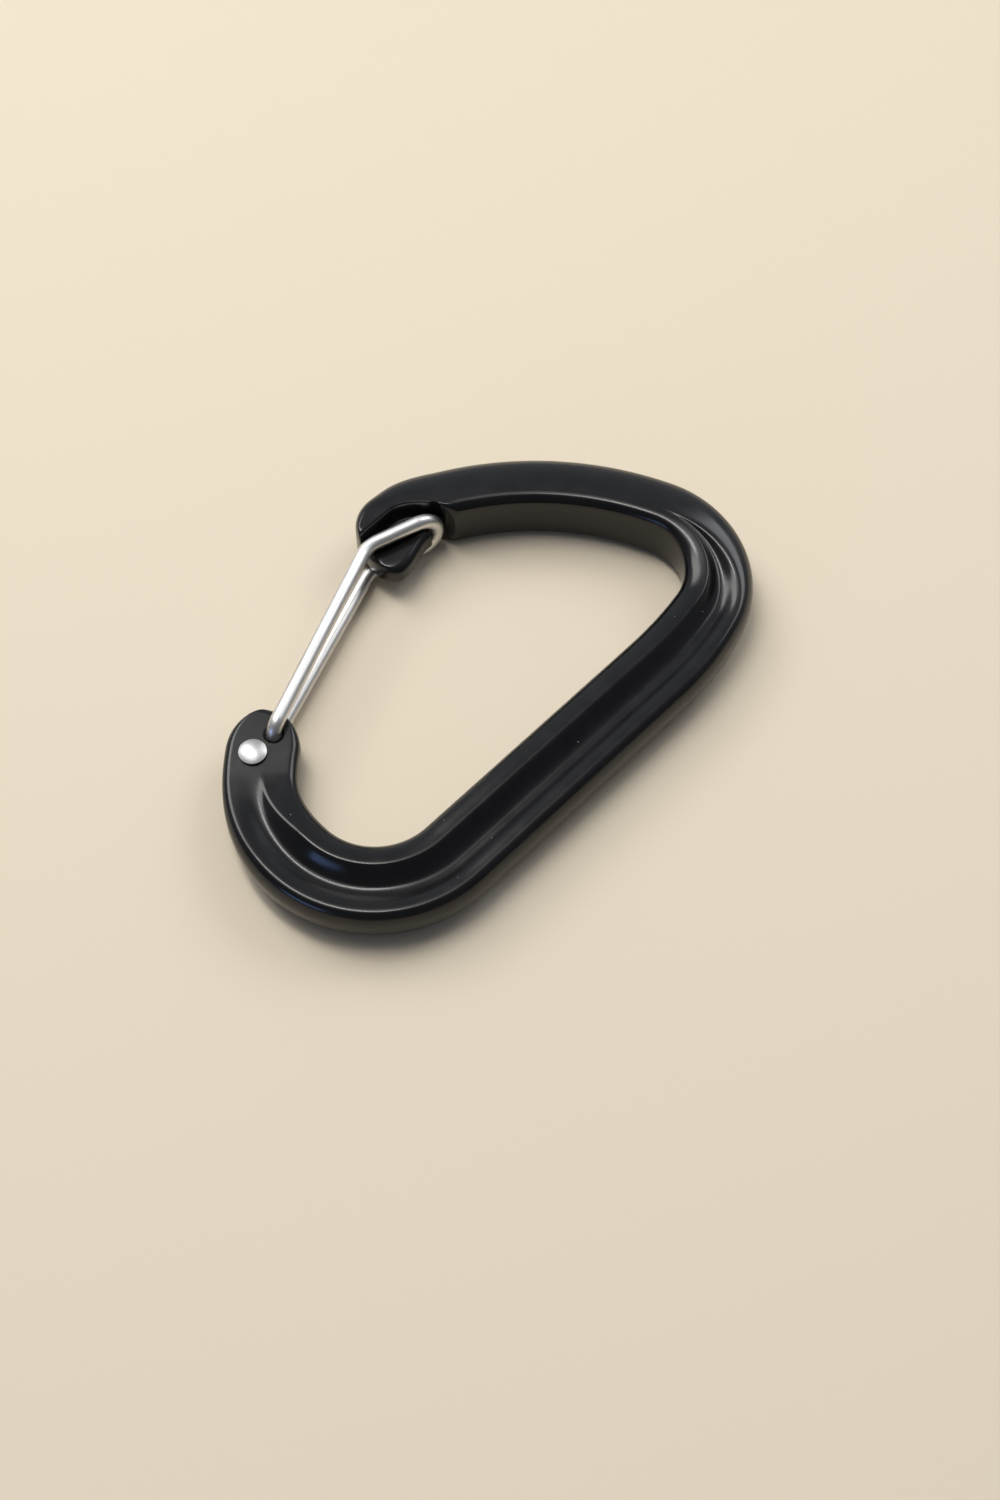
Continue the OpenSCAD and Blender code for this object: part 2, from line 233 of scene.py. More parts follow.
class NodeSketch:
    """A node tree, with short ways to add and join nodes."""

    def __init__(self, tree: bpy.types.NodeTree) -> None:
        """Takes the tree that the nodes go into."""
        self.tree = tree

    def add(self, kind: str, **values: Any) -> bpy.types.Node:
        """Adds a node.

        Args:
            kind: Kind of the node.
            values: Properties to set on it.

        Returns:
            The new node.
        """
        made = self.tree.nodes.new(kind)
        for key, value in values.items():
            setattr(made, key, value)
        return made

    def join(self, source: Socket, target: Socket) -> None:
        """Links one socket to another."""
        self.tree.links.new(source, target)

    def noise(self, place: Socket, scale: float, detail: float = 3.0,
              rough: float = 0.5) -> Socket:
        """Adds a noise texture.

        Args:
            place: Coordinates that it is looked up at.
            scale: How fine it is.
            detail: Number of finer layers.
            rough: Strength of the finer layers.

        Returns:
            Its value.
        """
        made = self.add("ShaderNodeTexNoise")
        for key, number in (("Scale", scale), ("Detail", detail), ("Roughness", rough)):
            made.inputs[key].default_value = number
        self.join(place, made.inputs["Vector"])
        return made.outputs["Fac"]

    def spread(self, value: Socket, low: float, high: float, start: float = 0.3,
               end: float = 0.7, ramp: Ramp = Ramp.LINEAR) -> Socket:
        """Maps a value between two marks onto a range.

        Args:
            value: Value to map.
            low: Result up to the first mark.
            high: Result from the last mark on.
            start: First mark.
            end: Last mark.
            ramp: Way to go from one to the other.

        Returns:
            The mapped value.
        """
        made = self.add("ShaderNodeMapRange", interpolation_type=ramp.value)
        for key, number in (("From Min", start), ("From Max", end), ("To Min", low),
                            ("To Max", high)):
            made.inputs[key].default_value = number
        self.join(value, made.inputs["Value"])
        return made.outputs["Result"]

    def mix(self, share: Socket, a: Paint, b: Paint) -> Socket:
        """Mixes two colours.

        Args:
            share: Share of the second colour.
            a: First colour, as numbers or as a socket.
            b: Second colour, likewise.

        Returns:
            The mixed colour.
        """
        made = self.add("ShaderNodeMix", data_type="RGBA")
        self.join(share, made.inputs["Factor"])
        for key, colour in ((MIX_A, a), (MIX_B, b)):
            if isinstance(colour, Socket):
                self.join(colour, made.inputs[key])
            else:
                made.inputs[key].default_value = (*colour, 1.0)
        return made.outputs[MIX_RESULT]


class MaterialSketch(NodeSketch):
    """The node tree of a new material with a principled shader."""

    def __init__(self, name: str) -> None:
        """Starts the material.

        Args:
            name: Name of the material.
        """
        self.material = bpy.data.materials.new(name)
        self.material.use_nodes = True
        super().__init__(self.material.node_tree)
        self.shader = self.tree.nodes["Principled BSDF"]

    def bump(self, height: Socket, strength: float, depth: float) -> None:
        """Adds relief to the shader.

        Args:
            height: Height of the relief, from 0 to 1.
            strength: How much of it shows.
            depth: Its full depth.
        """
        made = self.add("ShaderNodeBump")
        made.inputs["Strength"].default_value = strength
        made.inputs["Distance"].default_value = depth * MM
        self.join(height, made.inputs["Height"])
        self.join(made.outputs["Normal"], self.shader.inputs["Normal"])


@dataclass(frozen=True)
class BlackAnodise:
    """Semi-gloss black anodised aluminium with a fine tumbled grain and a little dust."""

    deep: Triple = (0.0030, 0.0030, 0.0034)
    light: Triple = (0.0050, 0.0050, 0.0057)
    dust: Triple = (0.30, 0.28, 0.25)
    roughness: Span = (0.16, 0.22)
    ior: float = 1.45
    mottle_scale: float = 350.0
    grain_scale: float = 7000.0
    grain_detail: float = 2.0
    grain_depth: float = 0.02
    relief: float = 0.05
    dust_scale: float = 330.0
    dust_size: float = 0.030
    dust_core: float = 0.6

    def material(self) -> bpy.types.Material:
        """Makes the finish.

        Returns:
            The finish as a material.
        """
        sketch = MaterialSketch("black_anodise")
        place = sketch.add("ShaderNodeTexCoord").outputs["Object"]
        mottle = sketch.noise(place, self.mottle_scale)
        grain = sketch.noise(place, self.grain_scale, self.grain_detail)
        cells = sketch.add("ShaderNodeTexVoronoi")
        cells.inputs["Scale"].default_value = self.dust_scale
        sketch.join(place, cells.inputs["Vector"])
        speck = sketch.spread(cells.outputs["Distance"], 1.0, 0.0,
                              self.dust_size * self.dust_core, self.dust_size)
        tone = sketch.mix(sketch.spread(mottle, 0.0, 1.0), self.deep, self.light)
        sketch.join(sketch.mix(speck, tone, self.dust), sketch.shader.inputs["Base Color"])
        sketch.join(sketch.spread(mottle, *self.roughness), sketch.shader.inputs["Roughness"])
        sketch.shader.inputs["IOR"].default_value = self.ior
        sketch.bump(grain, self.relief, self.grain_depth)
        return sketch.material


@dataclass(frozen=True)
class MarkedSteel:
    """Softly polished steel with faint marks from its making."""

    shade: Triple = (0.70, 0.69, 0.68)
    bright: Triple = (0.82, 0.81, 0.80)
    roughness: Span = (0.34, 0.44)
    relief: float = 0.05
    mark_depth: float = 0.01

    def dressed(self, sketch: MaterialSketch, marks: Socket) -> bpy.types.Material:
        """Lets the marks show in the tone, the gloss and the relief.

        Args:
            sketch: Material that is being made.
            marks: Value of the marks, from 0 to 1.

        Returns:
            The finished material.
        """
        tone = sketch.mix(sketch.spread(marks, 0.0, 1.0), self.shade, self.bright)
        sketch.join(tone, sketch.shader.inputs["Base Color"])
        sketch.join(sketch.spread(marks, *self.roughness), sketch.shader.inputs["Roughness"])
        sketch.shader.inputs["Metallic"].default_value = 1.0
        sketch.bump(marks, self.relief, self.mark_depth)
        return sketch.material


@dataclass(frozen=True)
class DrawnSteel(MarkedSteel):
    """Drawn stainless wire, with lines along its length."""

    line_scale: Triple = (0.12, 26.0, 1.0)
    line_detail: float = 4.0
    line_rough: float = 0.6

    def material(self) -> bpy.types.Material:
        """Makes the finish.

        Returns:
            The finish as a material.
        """
        sketch = MaterialSketch("drawn_steel")
        stretch = sketch.add("ShaderNodeMapping")
        stretch.inputs["Scale"].default_value = self.line_scale
        sketch.join(sketch.add("ShaderNodeUVMap", uv_map="along").outputs["UV"],
                    stretch.inputs["Vector"])
        lines = sketch.noise(stretch.outputs["Vector"], 1.0, self.line_detail, self.line_rough)
        return self.dressed(sketch, lines)


@dataclass(frozen=True)
class PressedSteel(MarkedSteel):
    """Pressed steel, with rings from its die."""

    shade: Triple = (0.46, 0.455, 0.45)
    bright: Triple = (0.58, 0.575, 0.57)
    roughness: Span = (0.36, 0.46)
    relief: float = 0.06
    centre: Span = (0.0, 0.0)
    ring_scale: float = 5200.0
    ring_detail: float = 2.0

    def material(self) -> bpy.types.Material:
        """Makes the finish.

        Returns:
            The finish as a material.
        """
        sketch = MaterialSketch("pressed_steel")
        shift = sketch.add("ShaderNodeMapping")
        shift.inputs["Location"].default_value = (-self.centre[0] * MM, -self.centre[1] * MM, 0)
        sketch.join(sketch.add("ShaderNodeTexCoord").outputs["Object"], shift.inputs["Vector"])
        flat = sketch.add("ShaderNodeVectorMath", operation="MULTIPLY")
        flat.inputs[1].default_value = (1.0, 1.0, 0.0)
        sketch.join(shift.outputs["Vector"], flat.inputs[0])
        radius = sketch.add("ShaderNodeVectorMath", operation="LENGTH")
        sketch.join(flat.outputs["Vector"], radius.inputs[0])
        rings = sketch.noise(radius.outputs["Value"], self.ring_scale, self.ring_detail)
        return self.dressed(sketch, rings)


@dataclass(frozen=True)
class PaleFloor:
    """Plain pale floor with a warm tint."""

    tint: Triple = (0.74, 0.645, 0.50)
    roughness: float = 0.85

    def material(self) -> bpy.types.Material:
        """Makes the finish.

        Returns:
            The finish as a material.
        """
        sketch = MaterialSketch("pale_floor")
        sketch.shader.inputs["Base Color"].default_value = (*self.tint, 1.0)
        sketch.shader.inputs["Roughness"].default_value = self.roughness
        return sketch.material


@dataclass(frozen=True)
class Plan:
    """Middle line of the frame in plan, walked from the hinge pad to the tip of the nose."""

    overall_l: float = 76.5
    basket_w: float = 10.0
    spine_w: float = 10.1
    basket_r: float = 13.1
    basket_turn: float = 90.0
    flare_r: float = 16.3
    flare_turn: float = 45.0
    pad_l: float = 8.7
    pad_turn: float = 18.0
    pad_w: float = 9.0
    pad_round: float = 5.4
    lean_r: float = 45.0
    lean_turn: float = 14.0
    corner_r: float = 11.3
    corner_turn: float = 96.0
    bow_r: float = 39.6
    bow_turn: float = 40.0
    bow_w: float = 7.8
    nose_r: float = 12.5
    nose_turn: float = 30.0
    nose_l: float = 7.5
    nose_w: float = 9.5
    nose_round: float = 5.5
    tongue_round: float = 2.8
    tongue_skew: float = 15.0
    nose_samples: int = 24

    @cached_property
    def stretches(self) -> list[Span]:
        """Straights and arcs of the middle line.

        Returns:
            Pairs of length and turn, from the pad to the end of the nose.
        """
        lean_l = arc_length(self.lean_r, self.lean_turn)
        narrow_l = lean_l + arc_length(self.corner_r, self.corner_turn)
        crest_l = lean_l + arc_length(self.corner_r, 90 - self.lean_turn)
        slim = self.bow_w - self.spine_w
        crest_half = (self.spine_w + slim * float(ease(crest_l / narrow_l))) / 2
        rise = math.sin(math.radians(self.lean_turn))
        spine_l = (self.overall_l - crest_half - self.basket_w / 2 - self.basket_r
                   - self.lean_r * rise - self.corner_r * (1 - rise))
        return [
            (self.pad_l, self.pad_turn),
            (arc_length(self.flare_r, self.flare_turn), self.flare_turn),
            (arc_length(self.basket_r, self.basket_turn), self.basket_turn),
            (spine_l, 0.0),
            (lean_l, self.lean_turn),
            (arc_length(self.corner_r, self.corner_turn), self.corner_turn),
            (arc_length(self.bow_r, self.bow_turn), self.bow_turn),
            (arc_length(self.nose_r, self.nose_turn), self.nose_turn),
            (self.nose_l, 0.0),
        ]

    @cached_property
    def starts(self) -> list[float]:
        """Place where each stretch starts, with the end of the last one."""
        return [0.0, *np.cumsum([length for length, _ in self.stretches]).tolist()]

    @property
    def flare_s(self) -> float:
        """Start of the flare."""
        return self.starts[1]

    @property
    def basket_s(self) -> float:
        """Start of the basket."""
        return self.starts[2]

    @property
    def spine_s(self) -> float:
        """Start of the spine."""
        return self.starts[3]

    @property
    def lean_s(self) -> float:
        """Start of the slow bend at the top of the spine."""
        return self.starts[4]

    @property
    def corner_s(self) -> float:
        """Start of the upper corner."""
        return self.starts[5]

    @property
    def bow_s(self) -> float:
        """Start of the bow."""
        return self.starts[6]

    @property
    def nose_s(self) -> float:
        """Start of the nose."""
        return self.starts[7]

    @property
    def nose_end_s(self) -> float:
        """Start of the straight end of the nose."""
        return self.starts[8]

    @property
    def end_s(self) -> float:
        """Tip of the nose."""
        return self.starts[9]

    def width(self, s: float) -> float:
        """Width of the body.

        Args:
            s: Place along the middle line.

        Returns:
            The width at that place.
        """
        return along([(self.flare_s, self.pad_w), (self.basket_s, self.basket_w),
                      (self.spine_s, self.spine_w), (self.lean_s, self.spine_w),
                      (self.bow_s, self.bow_w), (self.nose_s, self.bow_w),
                      (self.nose_end_s, self.nose_w)], s)

    @staticmethod
    def step(a: float, length: float, turn: float) -> np.ndarray:
        """Move along a straight or an arc.

        Args:
            a: Heading at its start.
            length: Its length.
            turn: Angle that it turns by.

        Returns:
            The way from its start to its end, in plan.
        """
        if turn == 0:
            return length * heading(a)
        start, end = math.radians(a), math.radians(a + turn)
        return (length / math.radians(turn)) * np.array(
            [math.sin(end) - math.sin(start), math.cos(start) - math.cos(end)])

    @property
    def pad_angle(self) -> float:
        """Heading at the tip of the hinge pad."""
        return 90 - self.basket_turn - self.flare_turn - self.pad_turn

    def walk(self, s: float, tip: np.ndarray | None = None) -> tuple[np.ndarray, float]:
        """Point and heading on the middle line.

        Args:
            s: Place along the line.
            tip: Where the line starts, if not at the pad's tip.

        Returns:
            The point in plan and the heading there.
        """
        point = self.pad_tip if tip is None else tip
        a = self.pad_angle
        for length, turn in self.stretches[:-1]:
            if s <= length:
                return point + self.step(a, s, turn * s / length), a + turn * s / length
            point, a, s = point + self.step(a, length, turn), a + turn, s - length
        return point + self.step(a, s, 0.0), a

    def end_share(self, s: float, tip_round: float) -> float:
        """Share of half the width that the two rounded ends leave.

        Args:
            s: Place along the middle line.
            tip_round: Length of the rounding at the nose's end.

        Returns:
            The share, from 0 to 1.
        """
        share = 1.0
        for d, r in ((s, self.pad_round), (self.end_s - s, tip_round)):
            if d < r:
                share *= math.sqrt(1 - (1 - d / r) ** 2)
        return share

    @cached_property
    def pad_tip(self) -> np.ndarray:
        """Tip of the pad, where the middle line starts.

        Returns:
            The point in plan that puts the outline's middle on the origin.
        """
        a = self.pad_angle
        tip = np.array([-self.spine_w / 2, -self.overall_l / 2 + self.basket_w / 2
                        + self.basket_r])
        # From the start of the spine back over the basket, the flare and the pad.
        for length, turn in self.stretches[:3]:
            tip = tip - self.step(a, length, turn)
            a += turn
        edge: list[float] = []
        for k in range(self.nose_samples + 1):
            s = self.nose_s + (self.end_s - self.nose_s) * k / self.nose_samples
            point, a = self.walk(s, tip)
            edge.append(point[0] + self.end_share(s, self.nose_round) * self.width(s) / 2
                        * math.cos(math.radians(a - 90)))
        return tip - np.array([min(edge) / 2, 0.0])

    def beside(self, s: float, across: float) -> np.ndarray:
        """Point beside the middle line, towards the inside of the D."""
        point, a = self.walk(s)
        return point + across * heading(a + 90)


@dataclass(frozen=True)
class GateLine:
    """Sizes and lines that the wire gate shares with the frame."""

    plan: Plan
    frame_t: float = 7.8
    wire_d: float = 1.85
    pin_bend_r: float = 1.6
    upper_along: float = 3.5
    upper_across: float = 1.05
    lower_along: float = 6.35
    lower_across: float = 0.95
    kink_back: float = 0.1
    kink_across: float = 0.4
    kink_turn: float = 39.0
    kink_r: float = 4.0
    kinked_l: float = 7.0
    flex_l: float = 12.0
    head_d: float = 3.4
    leg_inset: float = 0.1
    pad_gap: float = 0.2
    tongue_gap: float = 0.3
    tongue_reach: float = 0.4
    pin_gap: float = 0.05
    countersink: float = 0.35
    notch_gap: float = 0.45
    head_gap: float = 0.05

    @property
    def wire_r(self) -> float:
        """Radius of the wire."""
        return self.wire_d / 2

    @property
    def leg_z(self) -> float:
        """Height of the upper leg over the middle of the frame."""
        return self.frame_t / 2 - self.leg_inset - self.wire_r

    @property
    def pad_t(self) -> float:
        """Thickness of the hinge pad, between the legs."""
        return 2 * (self.leg_z - self.wire_r - self.pad_gap)

    @property
    def tongue_t(self) -> float:
        """Thickness of the nose's tongue, between the legs."""
        return 2 * (self.leg_z - self.wire_r - self.tongue_gap)

    @property
    def head_z(self) -> float:
        """Height over the floor of the foot of the head on the lower leg's pin."""
        return (self.frame_t + self.pad_t) / 2 + self.head_gap

    @cached_property
    def upper_pivot(self) -> np.ndarray:
        """Pivot of the upper leg, in plan."""
        return self.plan.beside(self.upper_along, self.upper_across)

    @cached_property
    def lower_pivot(self) -> np.ndarray:
        """Pivot of the lower leg, in plan."""
        return self.plan.beside(self.lower_along, -self.lower_across)

    @cached_property
    def kink(self) -> np.ndarray:
        """Kink of the gate, in plan."""
        return self.plan.beside(self.plan.end_s - self.kink_back, self.kink_across)

    @cached_property
    def kinked_angle(self) -> float:
        """Heading of the wire past its kink."""
        return angle_of(self.kink - self.upper_pivot) - self.kink_turn

    @cached_property
    def gate_end(self) -> np.ndarray:
        """Where the closed end of the gate starts to bend, in plan."""
        return self.kink + self.kinked_l * heading(self.kinked_angle)


@dataclass
class ForgedFrame:
    """The forged D: channelled basket and spine, crowned bow, stepped nose and flat pad."""

    plan: Plan
    line: GateLine
    rail_t: float = 6.9
    outer_rail_t: float = 5.2
    web_t: float = 3.2
    inner_crest: float = 3.0
    inner_fall: float = 0.7
    inner_edge: float = 1.2
    crest_share: float = 0.57
    crest_power: float = 2.0
    outer_crest: float = 1.3
    outer_edge_h: float = 2.3
    channel_start: float = 4.3
    channel_power: float = 2.0
    start_lean: float = 0.45
    channel_lean: float = 0.8
    ridge_r: float = 1.3
    crown_w: float = 5.6
    crown_h: float = 2.3
    pad_edge: float = 0.9
    tongue_edge: float = 1.1
    tongue_swell: float = 0.14
    tongue_waist: float = 0.12
    shoulder_edge: float = 1.4
    shoulder_w: float = 3.9
    step_back: float = 5.5
    step_run: float = 9.5
    step_r: float = 0.55
    draft: float = 0.2
    slope_w: float = 0.6
    bore_over: float = 2.0
    notch_over: float = 1.0
    wall_n: int = 5
    edge_n: int = 10
    crest_n: int = 8
    channel_n: int = 40
    crown_n: int = 16
    notch_n: int = 48
    ring_counts: tuple[int, ...] = (10, 36, 60, 24, 16, 80, 50, 44, 16)
    cap_n: int = 30
    sharp_angle: float = 40.0
    finish: BlackAnodise = field(default_factory=BlackAnodise)

    def __post_init__(self) -> None:
        """Works out the values that change along the frame."""
        p, g = self.plan, self.line
        closed_s = p.end_s - g.kink_back - g.kinked_l
        crown_end_s = p.end_s - p.nose_round / 2
        step_s = p.end_s - self.step_back
        pad_w, ridge_w, tongue_w = (edge + self.slope_w for edge in
                                    (self.pad_edge, self.ridge_r, self.tongue_edge))
        self.keys: dict[str, Keys] = {
            "rail": [(p.flare_s, g.pad_t), (p.basket_s, self.rail_t), (p.corner_s, self.rail_t),
                     (p.bow_s, g.frame_t)],
            "outer_rail": [(p.flare_s, g.pad_t), (p.basket_s, self.outer_rail_t),
                           (p.corner_s, self.outer_rail_t), (p.bow_s, g.frame_t)],
            "floor": [(p.flare_s, g.pad_t), (p.basket_s, self.web_t), (p.corner_s, self.web_t),
                      (p.bow_s, g.frame_t)],
            "lean": [(p.flare_s, self.start_lean), (p.basket_s, self.channel_lean)],
            "edge": [(p.flare_s, self.pad_edge), (p.basket_s, self.inner_edge),
                     (p.corner_s, self.inner_edge), (p.bow_s, self.ridge_r),
                     (p.nose_s, self.ridge_r), (p.nose_end_s, self.tongue_edge)],
            "inner_w": [(0.0, pad_w), (p.flare_s, self.channel_start),
                        (p.basket_s, self.inner_crest), (p.corner_s, self.inner_crest),
                        (p.bow_s, ridge_w), (p.nose_s, ridge_w), (p.nose_end_s, tongue_w)],
            "fall": [(p.flare_s, 0.0), (p.basket_s, self.inner_fall),
                     (p.corner_s, self.inner_fall), (p.bow_s, 0.0)],
            "outer_w": [(p.flare_s, self.pad_edge), (p.basket_s, self.outer_crest),
                        (p.corner_s, self.outer_crest), (p.bow_s, self.crown_w),
                        (p.nose_s, self.crown_w), (crown_end_s, self.shoulder_edge)],
            "outer_h": [(p.flare_s, self.pad_edge), (p.basket_s, self.outer_edge_h),
                        (p.corner_s, self.outer_edge_h), (p.bow_s, self.crown_h),
                        (p.nose_s, self.crown_h), (crown_end_s, self.shoulder_edge)],
            "step": [(step_s - self.step_run, -self.step_r),
                     (step_s, p.nose_w - self.shoulder_w)],
            "side": [(closed_s - 2 * g.leg_z, 1.0), (closed_s, 1 - self.tongue_waist),
                     (p.end_s - p.tongue_round, 1 + self.tongue_swell)],
        }

    def value(self, name: str, s: float) -> float:
        """A keyed value at a place."""
        return along(self.keys[name], s)

    def share(self, s: float, x: np.ndarray | float) -> np.ndarray:
        """Share of half the width that the rounded ends and the waist leave.

        Args:
            s: Place along the frame.
            x: Places across it, more than 0 towards the inside of the D.

        Returns:
            The share at each place.
        """
        p = self.plan
        inner = self.value("side", s) * p.end_share(s, p.tongue_round)
        return np.where(np.asarray(x) > 0, inner, p.end_share(s, p.nose_round))

    def level(self, s: float, d: np.ndarray, h: np.ndarray | float) -> np.ndarray:
        """Lowers heights to the tongue beside the step.

        Args:
            s: Place along the frame.
            d: Distances from the inner edge.
            h: Heights before the step.

        Returns:
            The heights with the step down to the tongue.
        """
        x = self.plan.width(s) / 2 - d
        past = x * self.share(s, x) - self.plan.width(s) / 2 + self.value("step", s)
        low = ease((past + self.step_r) / (2 * self.step_r))
        return h * (1 - low) + low * np.minimum(h, self.line.tongue_t / 2)

    def half_section(self, s: float) -> np.ndarray:
        """Upper half of the section, from the inner edge to the outer.

        Args:
            s: Place along the frame.

        Returns:
            Rows of distance from the inner edge and height over the parting line.
        """
        w = self.plan.width(s)
        rail = self.value("rail", s) / 2
        outer = self.value("outer_rail", s) / 2
        dip = max(0.0, (rail + outer) / 2 - self.value("floor", s) / 2)
        edge, fall, lean = (self.value(name, s) for name in ("edge", "fall", "lean"))
        foot = w / 2 - self.value("step", s) + self.step_r
        in_w = max(self.value("inner_w", s), w / 2 - foot / float(self.share(s, foot)))
        out_w, out_h = self.value("outer_w", s), self.value("outer_h", s)
        # The inner edge turns until it is as steep as the crest where the two meet.
        soft = self.crest_share * fall
        rise = edge + fall - soft
        steep = self.crest_power * soft / (in_w - edge) * edge / rise
        turn = math.acos(steep / (1 - steep))
        a = np.linspace(0, turn, self.edge_n + 1)
        edge_d = edge * (1 - np.cos(a)) / (1 - math.cos(turn))
        edge_h = self.level(s, edge_d, rail - soft) - rise * (1 - np.sin(a) / math.sin(turn))
        t = np.arange(1, self.crest_n + 1) / self.crest_n
        crest_d = edge + (in_w - edge) * t
        crest_h = self.level(s, crest_d, rail - soft * (1 - t) ** self.crest_power)
        t = np.arange(1, self.channel_n) / self.channel_n
        channel_d = in_w + (w - in_w - out_w) * t
        dent = dip * np.sin(np.pi * t ** lean) ** self.channel_power
        channel_h = self.level(s, channel_d, rail + (outer - rail) * ease(t) - dent)
        a = np.radians(np.linspace(90, 0, self.crown_n + 1))
        crown_d = w - out_w * (1 - np.cos(a))
        crown_h = self.level(s, crown_d, outer) - out_h * (1 - np.sin(a))
        return np.column_stack([np.concatenate([edge_d, crest_d, channel_d, crown_d]),
                                np.concatenate([edge_h, crest_h, channel_h, crown_h])])

    @staticmethod
    def end_drop(d: float, edge: float) -> float:
        """Fall of the faces beside a rounded end, a distance from its tip."""
        return edge * (1 - math.sqrt(1 - (1 - d / edge) ** 2)) if d < edge else 0.0

    def ring(self, s: float) -> np.ndarray:
        """Closed section in place, symmetric about the parting line.

        Args:
            s: Place along the frame.

        Returns:
            Points round the section.
        """
        p = self.plan
        point, a = p.walk(s)
        skew = math.tan(math.radians(p.tongue_skew)) * float(ease((s - p.nose_end_s) / p.nose_l))
        half_w = p.width(s) / 2
        drop = max(self.end_drop(s, self.pad_edge), self.end_drop(p.end_s - s, self.tongue_edge))
        face = [half_w, 0] + self.half_section(s) * [-1, 1] - [0, drop]
        inner, outer = face[0], face[-1]
        t = np.arange(1, self.wall_n)[:, None] / self.wall_n
        half = np.vstack([inner * [1, 0] + inner * [0, 1] * t, face,
                          outer * [1, 0] + outer * [0, 1] * t[::-1]])
        # The walls lean in towards the faces, with no crease at the parting line.
        half[:, 0] *= 1 - self.draft / half_w * (half[:, 1] / face[:, 1].max()) ** 2
        points = np.vstack([[half_w, 0], half, [-half_w, 0], half[::-1] * [1, -1]])
        x = points[:, :1] * self.share(s, points[:, :1])
        flat = point + x * heading(a + 90) + skew * np.maximum(x, 0) * heading(a)
        return np.column_stack([flat, points[:, 1] + self.line.frame_t / 2])

    @cached_property
    def places(self) -> list[float]:
        """Places of the rings along the frame.

        Returns:
            The places in rising order, close together at the two rounded ends.
        """
        p = self.plan
        turn = np.radians(90 * np.arange(1, self.cap_n + 1) / (self.cap_n + 1))
        marks = [p.pad_round, *p.starts[1:-1], p.end_s - p.nose_round]
        made = (p.pad_round * (1 - np.cos(turn))).tolist()
        for n, (a, b) in zip(self.ring_counts, zip(marks, marks[1:])):
            made += np.linspace(a, b, n, endpoint=False).tolist()
        return made + [p.end_s - p.nose_round] + (
            p.end_s - p.nose_round * (1 - np.cos(turn[::-1]))).tolist()

    def bore_tool(self, pivot: np.ndarray) -> bpy.types.Object:
        """Tool for a pivot bore with its two countersinks.

        Args:
            pivot: Middle of the bore, in plan.

        Returns:
            The tool, which stands out past both faces of the pad.
        """
        g = self.line
        r, wide, face = g.wire_r + g.pin_gap, g.countersink, g.pad_t / 2
        deep = face + self.bore_over
        profile = [(0.0, -deep), (r + wide + deep - face, -deep), (r, -face + wide),
                   (r, face - wide), (r + wide + deep - face, deep), (0.0, deep)]
        return lathe("bore_tool", profile, np.array([*pivot, g.frame_t / 2]))

    def notch_tool(self) -> bpy.types.Object:
        """Tool for the notch behind the tongue.

        Returns:
            The tool, which is open towards the inside of the D.
        """
        g = self.line
        swing = angle_of(g.gate_end - g.upper_pivot) - 90
        far = g.leg_z + g.wire_r + g.notch_gap
        centre = g.gate_end + (g.tongue_reach + far) / 2 * heading(g.kinked_angle)
        r = (far - g.tongue_reach) / 2 * math.sin(math.radians(g.kinked_angle - swing))
        rim = [centre + r * heading(swing + 90 + 180 * k / self.notch_n)
               for k in range(self.notch_n + 1)]
        rim += [p + self.plan.nose_w * heading(swing) for p in (rim[-1], rim[0])]
        heights = (-self.notch_over, g.frame_t + self.notch_over)
        points = [(*p, z) for z in heights for p in rim]
        return mesh_object("notch_tool", np.array(points), skin(len(heights), len(rim)))

    def build(self) -> bpy.types.Object:
        """Sweeps the section along the plan and cuts the bores and the notch.

        Returns:
            The frame, riding on its body.
        """
        rings = [self.ring(s) for s in self.places]
        piece = mesh_object("forged_frame", np.vstack(rings), skin(len(rings), len(rings[0])))
        for pivot in (self.line.upper_pivot, self.line.lower_pivot):
            cut(piece, self.bore_tool(pivot))
        cut(piece, self.notch_tool())
        piece.data.shade_smooth()
        piece.data.set_sharp_from_angle(angle=math.radians(self.sharp_angle))
        return self.dress(piece)

    def dress(self, piece: bpy.types.Object) -> bpy.types.Object:
        """Gives the frame its finish and its body.

        Args:
            piece: The frame's object.

        Returns:
            The same object.
        """
        piece.data.materials.clear()
        piece.data.materials.append(self.finish.material())
        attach(piece, Body.FRAME.value)
        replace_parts(piece, "frame")
        return piece


@dataclass
class WirePath:
    """Centre line of a bent wire, drawn forward from a start."""

    start: np.ndarray
    ahead: np.ndarray
    step_l: float = 0.6
    bend_step: float = 5.0

    def __post_init__(self) -> None:
        """Starts the line."""
        self.points: list[np.ndarray] = [np.asarray(self.start, float)]
        self.ahead = np.asarray(self.ahead, float)

    def straight(self, length: float) -> None:
        """Goes on straight.

        Args:
            length: How far it goes.
        """
        n = max(1, math.ceil(length / self.step_l))
        base = self.points[-1]
        self.points += [base + self.ahead * length * k / n for k in range(1, n + 1)]

    def bend(self, r: float, turn: float, towards: Sequence[float]) -> None:
        """Goes round a bend.

        Args:
            r: Radius of the bend.
            turn: Angle of the bend.
            towards: Direction from the wire to the middle of the bend.
        """
        inward, base = np.asarray(towards, float), self.points[-1]
        n = max(2, math.ceil(turn / self.bend_step))
        for k in range(1, n + 1):
            a = math.radians(turn * k / n)
            self.points.append(base + r * (math.sin(a) * self.ahead + (1 - math.cos(a)) * inward))
        a = math.radians(turn)
        self.ahead = math.cos(a) * self.ahead + math.sin(a) * inward


